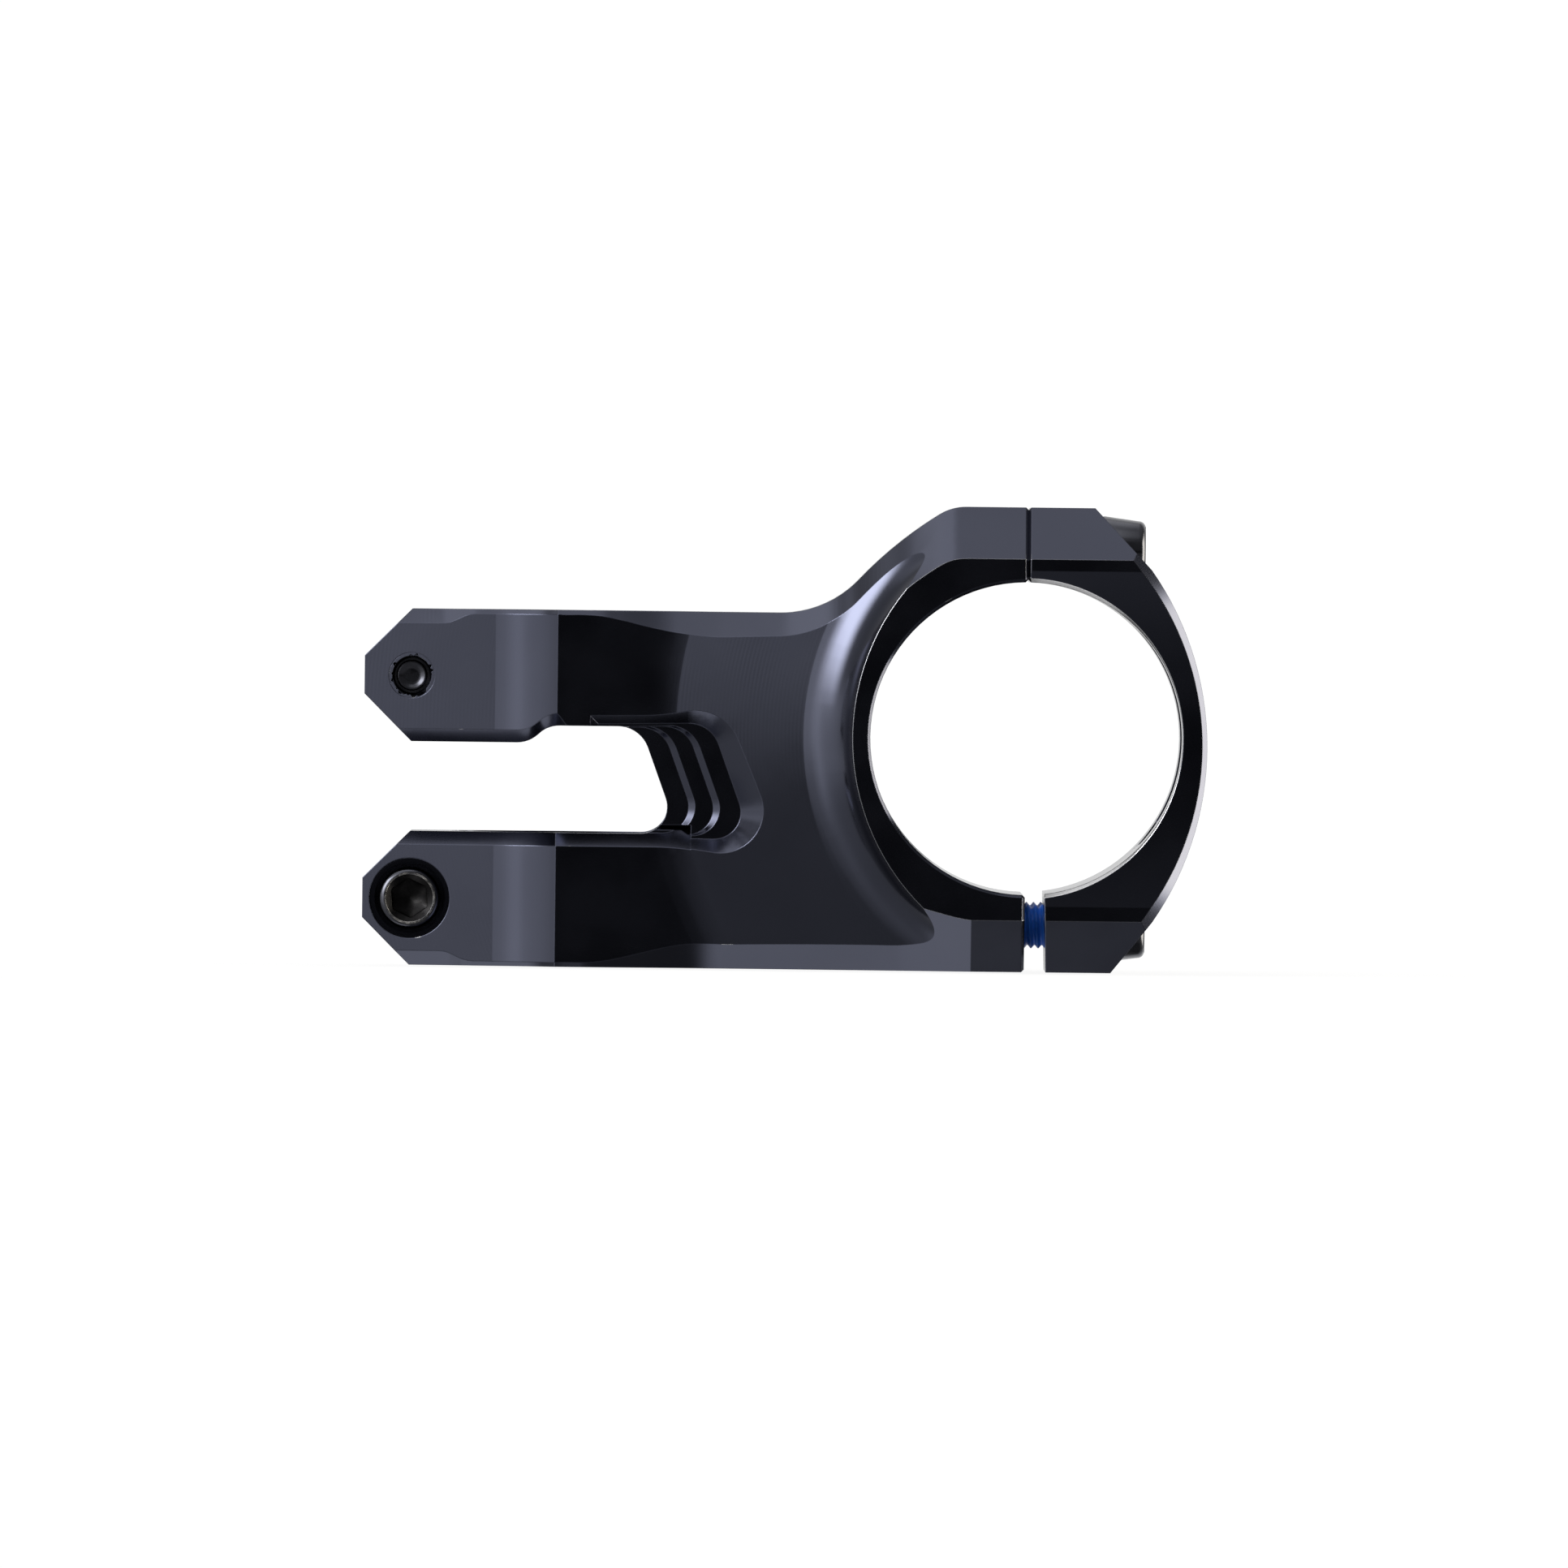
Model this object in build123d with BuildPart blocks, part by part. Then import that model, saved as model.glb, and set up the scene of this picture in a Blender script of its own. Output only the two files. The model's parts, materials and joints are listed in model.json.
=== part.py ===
from build123d import *
from math import atan2, cos, degrees, radians, sin, sqrt, tan
import os

# Handlebar stem for a 35 mm bar and a 1 1/8 inch steerer tube, in millimetres.
# The origin is on the steerer's axis at half the stack height. +X points forward to the bar, +Z up,
# +Y to the rider's left. "Half width" is the distance of a side surface from the middle plane y = 0.

os.makedirs("parts", exist_ok=True)

# --- driving dimensions -------------------------------------------------------------------------
REACH = 50.0  # steerer axis to bar axis, along X
RISE = 6.2  # bar axis above half the stack height
STACK = 40.0  # height of the steerer clamp
STEERER_RADIUS = 14.3
STEERER_RELIEF = 0.5  # the bore is wider between the arms, so that it grips above and below the window
RELIEF_LAP = 1.0  # and this much into each arm
BAR_RADIUS = 17.5
BAR_CLAMP_WIDTH = 50.0
COLLAR_WIDTH = 35.5  # width of the steerer clamp across the tube

BOTTOM = -STACK / 2
TOP = STACK / 2
CLAMP_HALF = BAR_CLAMP_WIDTH / 2
COLLAR_HALF = COLLAR_WIDTH / 2
CLAMP_TOP = 32.1  # top flat of the bar clamp
CLEAR = 40.0  # how far the cutting tools reach past the part
EDGE_BREAK = 0.3  # small chamfer on the edges of the two bores
SEAM_BREAK = 0.3  # chamfer around the faces where faceplate and body meet

# rear ears, one pair above and one below the side window
EAR_BACK = -24.3
EAR_CORNER = 5.3  # 45 degree corners at the back of the ears
UPPER_EAR_BOTTOM = 5.1
LOWER_EAR_TOP = -4.95
EAR_SLOPE = 9.5  # degrees that the ears' sides close in towards the back
EAR_FLAT_END = -9.6  # the flat side of an ear ends here and a hollow arc takes over
EAR_ARC_TURN = 38.0
COLLAR_EDGE = -2.65  # sharp upright edge where the collar's own side begins
SLOT_WIDTH = 3.0

# side window between the two arms, and the three steps in front of it
WINDOW_TOP = 7.05
WINDOW_STEP_START = -7.1
WINDOW_STEP_LENGTH = 4.8
WINDOW_FRONT = 9.3  # where the slanted front crosses half the stack height
WINDOW_SLANT = 20.0  # degrees off upright
WINDOW_UPPER_RADIUS = 3.6
WINDOW_LOWER_RADIUS = 3.0
STEP_FLOORS = (15.85, 16.35, 16.85)  # half width at each step's floor
STEP_FRONTS = (11.75, 14.45, 17.4)
STEP_TOPS = (0.05, 0.2, 0.47)  # how far each step's floor reaches above the window
STEP_BOTTOMS = (0.05, 0.25, 0.57)  # and below it
STEP_WALL_LEAN = 0.65  # each step's wall leans forward by this much
STEP_WALL_SPREAD = 0.05  # and opens this much above and below
STEP_LEFT = 2.0  # the steps' outlines close here, in the open window
STEP_RUN_INS = (0.3, 0.45, 0.2)  # there, each outline is this much narrower above and below
RIM_DEPTH = 3.0  # reach of the 45 degree rim around the last step
WINDOW_TOP_BEVEL_END = 11.6
WINDOW_BOTTOM_BEVEL_END = 12.5

# rise from the top of the stack to the top of the bar clamp: three tangent arcs
RISE_START = 22.25
RISE_ANGLE = 47.0
CREST_ANGLE = 32.0
FOOT_RADIUS = 12.0
CREST_RADIUS = 5.5

# flare from the neck's side out to the bar clamp: turned about an axis just in front of the bar's
FLARE_X = 57.0
FLARE_EDGE = 26.5
FLARE_FILLET_END = 32.0
FLARE_START = 50.0
FLARE_SLOPE = 8.5
FLARE_RUN_IN_RADIUS = 25.0

# 45 degree bevels along the long edges
EDGE_BEVEL = 0.5
EAR_BEVEL = 1.6
UPPER_WINDOW_BEVEL = 1.4
LOWER_WINDOW_BEVEL = 1.5
WAIST_START = 0.5  # the top and bottom faces narrow from here to the neck's waist
UPPER_WAIST_HALF = 15.45
UPPER_WAIST_X = 11.5
UPPER_LUG_X = 38.3  # and are as wide as the bar clamp's flats from here
UPPER_ROUND = 5.0  # length over which the upper edge bends at both ends of its widening
LOWER_WAIST_HALF = 15.0
LOWER_WAIST_X = 13.5
LOWER_WIDENING = 0.112  # half width gained per millimetre of the lower edge's straight part
LOWER_LUG_START = 36.0
LOWER_LUG_X = 44.0
LUG_HALF = 19.2  # half width of the bar clamp's top and bottom flats
BEVEL_REACH = 3.5  # depth of the bevelling tools
LUG_REACH = 9.0

# pocket milled into the neck from the bar's side
POCKET_WIDTH = 21.0
POCKET_LOW = -8.0
POCKET_HIGH = 12.0
POCKET_END = 21.0
POCKET_RADIUS = 5.0

# faceplate
PLATE_LOWER_GAP = 2.3
PLATE_LOWER_LEAN = 0.25
PLATE_TOP_END = 57.45
PLATE_BOTTOM_END = 59.7
PLATE_UPPER_CORNER = (63.85, 25.2)
PLATE_LOWER_CORNER = (64.3, -14.2)
PLATE_FRONT = 70.25  # foremost point, at the height below
PLATE_FRONT_HEIGHT = 5.0
PLATE_BAND = 18.8  # the flat band beside each lug bevel starts here, above and below the bar axis
PLATE_HOLLOW = 0.45  # depth of the shallow hollow in the plate's sides between the bands
PLATE_FRONT_BEVEL = 1.0
PLATE_EDGE_BREAK = 0.5
PLATE_WINDOW_WIDTH = 20.0
PLATE_WINDOW_HEIGHT = 25.0
PLATE_WINDOW_RADIUS = 5.0
PLATE_RELIEF_WIDTH = 15.0
PLATE_RELIEF_DEPTH = 2.4

# M5 bolts with tapered heads
BOLT_RADIUS = 2.5
THREAD_BORE_RADIUS = 2.55
CLEARANCE_RADIUS = 2.75
HEAD_RADIUS = 4.0
HEAD_TIP_RADIUS = 3.35
HEAD_HEIGHT = 4.9
HEAD_ROUND = 0.45
COUNTERBORE_RADIUS = 4.5
SOCKET_ACROSS_FLATS = 4.0
SOCKET_DEPTH = 2.8
TIP_CHAMFER = 0.6
PATCH_LENGTH = 10.0
PATCH_START = 2.6  # from the bolt's tip
PATCH_THICKNESS = 0.2
PLATE_BOLT_LENGTH = 18.0
PLATE_BOLT_HALF_SPACING = 14.5
PLATE_BOLT_OFFSET = 21.05  # above and below the bar's axis
UPPER_SEAT_X = 58.25  # bearing face under the upper heads
LOWER_SEAT_X = 58.6
THREAD_END_X = 38.4
PINCH_BOLT_LENGTH = 18.0
PINCH_X = -19.0
PINCH_Z = 12.5
PINCH_SEAT = 7.3  # distance of the bearing face from the middle plane


# --- outlines and formulas shared by several pieces ----------------------------------------------
def ease(start, end, x):
    """0 before start, 1 after end, and a smooth S between them."""
    share = min(max((x - start) / (end - start), 0.0), 1.0)
    return share * share * (3 - 2 * share)


EAR_ARC_END_SLOPE = radians(EAR_SLOPE + EAR_ARC_TURN)
EAR_ARC_RADIUS = (COLLAR_EDGE - EAR_FLAT_END) / (sin(EAR_ARC_END_SLOPE) - sin(radians(EAR_SLOPE)))
EAR_ARC_X = EAR_FLAT_END - EAR_ARC_RADIUS * sin(radians(EAR_SLOPE))
EAR_ARC_Y = COLLAR_HALF + EAR_ARC_RADIUS * cos(EAR_ARC_END_SLOPE)
EAR_FLAT_HALF = EAR_ARC_Y - EAR_ARC_RADIUS * cos(radians(EAR_SLOPE))


def ear_half(x):
    """Half width of the ears: a flat closing in towards the back, then a hollow arc up to the collar."""
    if x < EAR_FLAT_END:
        return EAR_FLAT_HALF + (x - EAR_FLAT_END) * tan(radians(EAR_SLOPE))
    return EAR_ARC_Y - sqrt(EAR_ARC_RADIUS**2 - (x - EAR_ARC_X) ** 2)


def ear_face_half(x):
    """Half width of the ears' top and bottom faces: a wide bevel at the back runs out to an edge break."""
    return ear_half(x) - EAR_BEVEL + (EAR_BEVEL - EDGE_BEVEL) * ease(-15.5, -12.0, x)


def waist_half(half, end, x):
    """Half width of the top or bottom face from the collar to the neck's waist."""
    collar_face = COLLAR_HALF - EDGE_BEVEL
    return collar_face + (half - collar_face) * ease(WAIST_START, end, x)


def upper_face_half(x):
    """Half width of the top face: in to the waist, then out along a straight that bends at both ends."""
    run = UPPER_LUG_X - UPPER_WAIST_X
    ahead = min(max(x - UPPER_WAIST_X, 0.0), run)
    left = run - ahead
    if ahead < UPPER_ROUND:
        travelled = ahead**2 / (2 * UPPER_ROUND)
    elif left < UPPER_ROUND:
        travelled = run - UPPER_ROUND - left**2 / (2 * UPPER_ROUND)
    else:
        travelled = ahead - UPPER_ROUND / 2
    widening = (LUG_HALF - UPPER_WAIST_HALF) * travelled / (run - UPPER_ROUND)
    return waist_half(UPPER_WAIST_HALF, UPPER_WAIST_X, x) + widening


def lower_face_half(x):
    """Half width of the bottom face: in to the waist, straight out, then an S out to the lug."""
    straight = LOWER_WIDENING * max(x - LOWER_WAIST_X - 1, 0.0)
    straight_at_lug = LOWER_WIDENING * (LOWER_LUG_X - LOWER_WAIST_X - 1)
    last_step = LUG_HALF - LOWER_WAIST_HALF - straight_at_lug
    widening = straight + last_step * ease(LOWER_LUG_START, LOWER_LUG_X, x)
    return waist_half(LOWER_WAIST_HALF, LOWER_WAIST_X, x) + widening


def drop(radius, steep, shallow):
    """Height that an arc of this radius covers between two slopes in degrees."""
    return radius * (cos(radians(shallow)) - cos(radians(steep)))


SHOULDER_HEIGHT = CLAMP_TOP - TOP - drop(FOOT_RADIUS, RISE_ANGLE, 0) - drop(CREST_RADIUS, CREST_ANGLE, 0)
SHOULDER_RADIUS = SHOULDER_HEIGHT / drop(1.0, RISE_ANGLE, CREST_ANGLE)


def draw_upper_edge(start_x, end_x):
    """Side view of the top: the stack's flat, the rise in three tangent arcs, the bar clamp's flat."""
    flat = Line((start_x, TOP), (RISE_START, TOP))
    foot = JernArc(flat @ 1, flat % 1, FOOT_RADIUS, RISE_ANGLE)
    shoulder = JernArc(foot @ 1, foot % 1, SHOULDER_RADIUS, CREST_ANGLE - RISE_ANGLE)
    crest = JernArc(shoulder @ 1, shoulder % 1, CREST_RADIUS, -CREST_ANGLE)
    return Line(crest @ 1, (end_x, CLAMP_TOP))


def draw_window_top(start_x, end_x):
    """Side view of the window's upper edge: the ear's underside, an S up, the arm's underside."""
    half_run = WINDOW_STEP_LENGTH / 2
    half_rise = (WINDOW_TOP - UPPER_EAR_BOTTOM) / 2
    radius = (half_run**2 + half_rise**2) / (2 * half_rise)
    turn = 2 * degrees(atan2(half_rise, half_run))
    ear = Line((start_x, UPPER_EAR_BOTTOM), (WINDOW_STEP_START, UPPER_EAR_BOTTOM))
    lower = JernArc(ear @ 1, ear % 1, radius, turn)
    upper = JernArc(lower @ 1, lower % 1, radius, -turn)
    return Line(upper @ 1, (end_x, WINDOW_TOP))


def draw_window_front(front, top, bottom, run_in=0.0, grow=0.0):
    """Side view of a slanted front with two round corners, open towards the back.

    front is where it crosses half the stack height. run_in draws the back ends of its two long sides
    towards each other, and grow moves the whole outline outwards.
    """
    lean = tan(radians(WINDOW_SLANT))
    line_x = front + grow / cos(radians(WINDOW_SLANT))
    back = STEP_LEFT - grow
    return FilletPolyline(
        (back, top - run_in + grow),
        (line_x - lean * (top + grow), top + grow),
        (line_x - lean * (bottom - grow), bottom - grow),
        (back, bottom + run_in - grow),
        radius=[WINDOW_UPPER_RADIUS + grow, WINDOW_LOWER_RADIUS + grow],
    )


def bevel_tool(edge, face_half, side, reach, count):
    """What a 45 degree bevel takes off along an edge seen from the side, on both flanks.

    face_half gives the half width where the bevel starts. side is +1 where the bevel falls away from
    an upper edge, and -1 where it climbs away from a lower one.
    """
    with BuildPart() as tool:
        for number in range(count + 1):
            place = edge @ (number / count)
            start = face_half(place.X)
            with BuildSketch(Plane.YZ.offset(place.X)):
                with BuildLine():
                    Polyline(
                        (start - 1, place.Y + side),
                        (start + reach, place.Y - side * reach),
                        (CLEAR, place.Y - side * reach),
                        (CLEAR, place.Y + side),
                        close=True,
                    )
                make_face()
        loft()
        mirror(about=Plane.XZ)
    return tool.part


def bore_tool(profile_plane, radius, half_length, edge_break):
    """Round bore along the plane's y axis, widened at both ends by the break of its edges."""
    past = half_length + 2
    wide = radius + edge_break + 2
    with BuildPart() as tool:
        with BuildSketch(profile_plane):
            with BuildLine():
                Polyline(
                    (0, -past),
                    (wide, -past),
                    (radius, -half_length + edge_break),
                    (radius, half_length - edge_break),
                    (wide, past),
                    (0, past),
                    close=True,
                )
            make_face()
        revolve(axis=Axis(profile_plane.origin, profile_plane.y_dir))
    return tool.part


def round_hole(seat, radius, depth):
    """Cylinder that starts on a plane and runs back against its normal."""
    with BuildPart() as tool:
        with BuildSketch(seat):
            Circle(radius)
        extrude(amount=-depth)
    return tool.part


def seat_forward(x, y, z):
    """Plane of a bearing face whose bolt head points forward."""
    return Plane(origin=(x, y, z), x_dir=(0, 1, 0), z_dir=(1, 0, 0))


def seat_sideways(side, z):
    """Plane of a pinch bolt's bearing face; side is +1 for a head on the left and -1 on the right."""
    return Plane(origin=(PINCH_X, side * PINCH_SEAT, z), x_dir=(1, 0, 0), z_dir=(0, side, 0))


# --- where the bolts sit -------------------------------------------------------------------------
UPPER_BOLT_Z = RISE + PLATE_BOLT_OFFSET
LOWER_BOLT_Z = RISE - PLATE_BOLT_OFFSET
PLATE_SEATS = {
    "upper_left": seat_forward(UPPER_SEAT_X, PLATE_BOLT_HALF_SPACING, UPPER_BOLT_Z),
    "upper_right": seat_forward(UPPER_SEAT_X, -PLATE_BOLT_HALF_SPACING, UPPER_BOLT_Z),
    "lower_left": seat_forward(LOWER_SEAT_X, PLATE_BOLT_HALF_SPACING, LOWER_BOLT_Z),
    "lower_right": seat_forward(LOWER_SEAT_X, -PLATE_BOLT_HALF_SPACING, LOWER_BOLT_Z),
}
PINCH_SEATS = {
    "upper": seat_sideways(1, PINCH_Z),
    "lower": seat_sideways(-1, -PINCH_Z),
}
BAR_PLANE = Plane(origin=(REACH, 0, RISE), x_dir=(-1, 0, 0), z_dir=(0, 0, -1))
STEERER_PLANE = Plane(origin=(0, 0, 0), x_dir=(1, 0, 0), z_dir=(0, -1, 0))


# --- tools that shape the stem body --------------------------------------------------------------
with BuildPart() as flare_tool:
    flare_plane = Plane(origin=(FLARE_X, 0, RISE), x_dir=(-1, 0, 0), z_dir=(0, 0, -1))
    with BuildSketch(flare_plane):
        with BuildLine():
            collar_side = Line((FLARE_START + CLEAR, COLLAR_HALF), (FLARE_START, COLLAR_HALF))
            run_in = JernArc(collar_side @ 1, collar_side % 1, FLARE_RUN_IN_RADIUS, -FLARE_SLOPE)
            cone_length = ((run_in @ 1).X - FLARE_FILLET_END) / cos(radians(FLARE_SLOPE))
            cone = Line(run_in @ 1, run_in @ 1 + (run_in % 1) * cone_length)
            fillet_arc = TangentArc(cone @ 1, (FLARE_EDGE, CLAMP_HALF), tangent=cone % 1)
            Polyline(
                fillet_arc @ 1,
                fillet_arc @ 1 + (fillet_arc % 1) * 2,
                (FLARE_START + CLEAR, CLAMP_HALF + 2),
                collar_side @ 0,
            )
        make_face()
    revolve(axis=Axis(flare_plane.origin, (0, 1, 0)))
    mirror(about=Plane.XZ)

with BuildPart() as ear_side_tool:
    with BuildSketch(Plane.XY.offset(BOTTOM - 1)):
        with BuildLine():
            flat = Line((-CLEAR, ear_half(-CLEAR)), (EAR_FLAT_END, EAR_FLAT_HALF))
            hollow = ThreePointArc(
                flat @ 1,
                ((EAR_FLAT_END + COLLAR_EDGE) / 2, ear_half((EAR_FLAT_END + COLLAR_EDGE) / 2)),
                (COLLAR_EDGE, ear_half(COLLAR_EDGE)),
            )
            Polyline(hollow @ 1, (COLLAR_EDGE, CLEAR), (-CLEAR, CLEAR), flat @ 0)
        make_face()
    extrude(amount=STACK + 2)
    mirror(about=Plane.XZ)

with BuildPart() as window_tool:
    with BuildSketch(Plane.XZ):
        with BuildLine():
            ear_corner_x = EAR_BACK + EAR_CORNER
            behind = CLEAR / 3
            draw_window_top(ear_corner_x, STEP_LEFT)
            draw_window_front(WINDOW_FRONT, WINDOW_TOP, LOWER_EAR_TOP)
            Polyline(
                (STEP_LEFT, LOWER_EAR_TOP),
                (ear_corner_x, LOWER_EAR_TOP),
                (ear_corner_x - behind, LOWER_EAR_TOP - behind),
                (ear_corner_x - behind, UPPER_EAR_BOTTOM + behind),
                (ear_corner_x, UPPER_EAR_BOTTOM),
            )
        make_face()
    extrude(amount=CLEAR, both=True)

with BuildPart() as step_tool:
    step_tops = STEP_FLOORS[1:] + (STEP_FLOORS[-1] + RIM_DEPTH,)
    forward = (STEP_WALL_LEAN, STEP_WALL_LEAN, 0.0)
    spreads = (STEP_WALL_SPREAD, STEP_WALL_SPREAD, RIM_DEPTH)
    for step, front in enumerate(STEP_FRONTS):
        step_top = WINDOW_TOP + STEP_TOPS[step]
        step_bottom = LOWER_EAR_TOP - STEP_BOTTOMS[step]
        for height, shift, grow in (
            (STEP_FLOORS[step], 0.0, 0.0),
            (step_tops[step], forward[step], spreads[step]),
        ):
            with BuildSketch(Plane.XZ.offset(height)):
                with BuildLine():
                    path = draw_window_front(
                        front + shift, step_top, step_bottom, STEP_RUN_INS[step], grow
                    )
                    Line(path @ 1, path @ 0)
                make_face()
        loft(ruled=True)
    mirror(about=Plane.XZ)

with BuildLine() as rear_top:
    Line((EAR_BACK - 2, TOP), (COLLAR_EDGE + 1, TOP))
with BuildLine() as rear_bottom:
    Line((EAR_BACK - 2, BOTTOM), (COLLAR_EDGE + 1, BOTTOM))
with BuildLine() as front_top:
    draw_upper_edge(COLLAR_EDGE - 1, REACH + 4)
with BuildLine() as neck_bottom:
    Line((COLLAR_EDGE - 1, BOTTOM), (LOWER_LUG_X + 2, BOTTOM))
with BuildLine() as lug_bottom:
    Line((LOWER_LUG_X - 6, BOTTOM), (PLATE_FRONT + 4, BOTTOM))
with BuildLine() as lug_top:
    Line((REACH - 4, CLAMP_TOP), (PLATE_FRONT + 4, CLAMP_TOP))
with BuildLine() as rear_window_top:
    draw_window_top(EAR_BACK - 2, COLLAR_EDGE + 1)
with BuildLine() as front_window_top:
    draw_window_top(WINDOW_STEP_START - 1, WINDOW_TOP_BEVEL_END)
with BuildLine() as rear_window_bottom:
    Line((EAR_BACK - 2, LOWER_EAR_TOP), (COLLAR_EDGE + 1, LOWER_EAR_TOP))
with BuildLine() as front_window_bottom:
    Line((COLLAR_EDGE - 1, LOWER_EAR_TOP), (WINDOW_BOTTOM_BEVEL_END, LOWER_EAR_TOP))

BODY_BEVELS = [
    bevel_tool(rear_top.line, ear_face_half, 1, BEVEL_REACH, 24),
    bevel_tool(rear_bottom.line, ear_face_half, -1, BEVEL_REACH, 24),
    bevel_tool(front_top.line, upper_face_half, 1, LUG_REACH, 44),
    bevel_tool(neck_bottom.line, lower_face_half, -1, LUG_REACH, 32),
    bevel_tool(lug_bottom.line, lambda x: LUG_HALF, -1, LUG_REACH, 1),
    bevel_tool(rear_window_top.line, lambda x: ear_half(x) - UPPER_WINDOW_BEVEL, -1, BEVEL_REACH, 24),
    bevel_tool(rear_window_bottom.line, lambda x: ear_half(x) - LOWER_WINDOW_BEVEL, 1, BEVEL_REACH, 24),
    bevel_tool(front_window_top.line, lambda x: COLLAR_HALF - UPPER_WINDOW_BEVEL, -1, BEVEL_REACH, 24),
    bevel_tool(front_window_bottom.line, lambda x: COLLAR_HALF - LOWER_WINDOW_BEVEL, 1, BEVEL_REACH, 1),
]


# --- stem body -----------------------------------------------------------------------------------
with BuildPart() as stem_body:
    with BuildSketch(Plane.XZ):
        with BuildLine():
            draw_upper_edge(EAR_BACK + EAR_CORNER, REACH)
            Polyline(
                (REACH, CLAMP_TOP),
                (REACH, BOTTOM),
                (EAR_BACK + EAR_CORNER, BOTTOM),
                (EAR_BACK, BOTTOM + EAR_CORNER),
                (EAR_BACK, TOP - EAR_CORNER),
                (EAR_BACK + EAR_CORNER, TOP),
            )
        make_face()
    extrude(amount=CLAMP_HALF, both=True)
    add(flare_tool.part, mode=Mode.SUBTRACT)
    add(ear_side_tool.part, mode=Mode.SUBTRACT)
    for bevel in BODY_BEVELS:
        add(bevel, mode=Mode.SUBTRACT)
    add(bore_tool(STEERER_PLANE, STEERER_RADIUS, STACK / 2, EDGE_BREAK), mode=Mode.SUBTRACT)
    with BuildSketch(Plane.XY.offset(LOWER_EAR_TOP - RELIEF_LAP)):
        Circle(STEERER_RADIUS + STEERER_RELIEF)
    extrude(amount=WINDOW_TOP - LOWER_EAR_TOP + 2 * RELIEF_LAP, mode=Mode.SUBTRACT)
    add(window_tool.part, mode=Mode.SUBTRACT)
    add(step_tool.part, mode=Mode.SUBTRACT)
    add(bore_tool(BAR_PLANE, BAR_RADIUS, CLAMP_HALF, EDGE_BREAK), mode=Mode.SUBTRACT)

    with BuildSketch(Plane.YZ.offset(POCKET_END)):
        with Locations((0, (POCKET_LOW + POCKET_HIGH) / 2)):
            RectangleRounded(POCKET_WIDTH, POCKET_HIGH - POCKET_LOW, POCKET_RADIUS)
    extrude(amount=REACH - POCKET_END, mode=Mode.SUBTRACT)

    with Locations((EAR_BACK, 0, 0)):
        Box(2 * (-EAR_BACK - STEERER_RADIUS + 1), SLOT_WIDTH, STACK + 2, mode=Mode.SUBTRACT)

    seam = stem_body.faces().filter_by(Axis.X).group_by(Axis.X)[-1]
    chamfer(seam.edges(), SEAM_BREAK)

    for seat in PLATE_SEATS.values():
        mouth = Plane(origin=(REACH, seat.origin.Y, seat.origin.Z), x_dir=seat.x_dir, z_dir=seat.z_dir)
        add(round_hole(mouth, THREAD_BORE_RADIUS, REACH - THREAD_END_X), mode=Mode.SUBTRACT)
    for seat in PINCH_SEATS.values():
        add(round_hole(seat, CLEARANCE_RADIUS, PINCH_SEAT), mode=Mode.SUBTRACT)
        add(round_hole(seat, THREAD_BORE_RADIUS, CLEAR), mode=Mode.SUBTRACT)
        add(round_hole(seat.offset(CLEAR), COUNTERBORE_RADIUS, CLEAR), mode=Mode.SUBTRACT)

stem_body.part.label = "stem_body"
export_step(stem_body.part, "parts/stem_body.step")


# --- faceplate -----------------------------------------------------------------------------------
PLATE_BEVELS = [
    bevel_tool(lug_top.line, lambda x: LUG_HALF, 1, LUG_REACH, 1),
    bevel_tool(lug_bottom.line, lambda x: LUG_HALF, -1, LUG_REACH, 1),
]

with BuildPart() as plate_hollow_tool:
    with BuildSketch(Plane.YZ.offset(REACH - 1)):
        with BuildLine():
            arc = ThreePointArc(
                (CLAMP_HALF, RISE - PLATE_BAND),
                (CLAMP_HALF - PLATE_HOLLOW, RISE),
                (CLAMP_HALF, RISE + PLATE_BAND),
            )
            Polyline(arc @ 1, (CLEAR, RISE + PLATE_BAND), (CLEAR, RISE - PLATE_BAND), arc @ 0)
        make_face()
    extrude(amount=CLEAR)
    mirror(about=Plane.XZ)

with BuildPart() as front_bevel_tool:
    with BuildLine():
        front_arc = ThreePointArc(PLATE_UPPER_CORNER, (PLATE_FRONT, PLATE_FRONT_HEIGHT), PLATE_LOWER_CORNER)
    centre = front_arc.arc_center
    front_plane = Plane(origin=(centre.X, 0, centre.Y), x_dir=(1, 0, 0), z_dir=(0, 0, 1))
    with BuildSketch(front_plane):
        with BuildLine():
            Polyline(
                (front_arc.radius - PLATE_FRONT_BEVEL - 1, CLAMP_HALF + 1),
                (front_arc.radius + 1, CLAMP_HALF - PLATE_FRONT_BEVEL - 1),
                (front_arc.radius + 1, CLAMP_HALF + 1),
                close=True,
            )
        make_face()
    revolve(axis=Axis(front_plane.origin, (0, 1, 0)))
    mirror(about=Plane.XZ)

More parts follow.
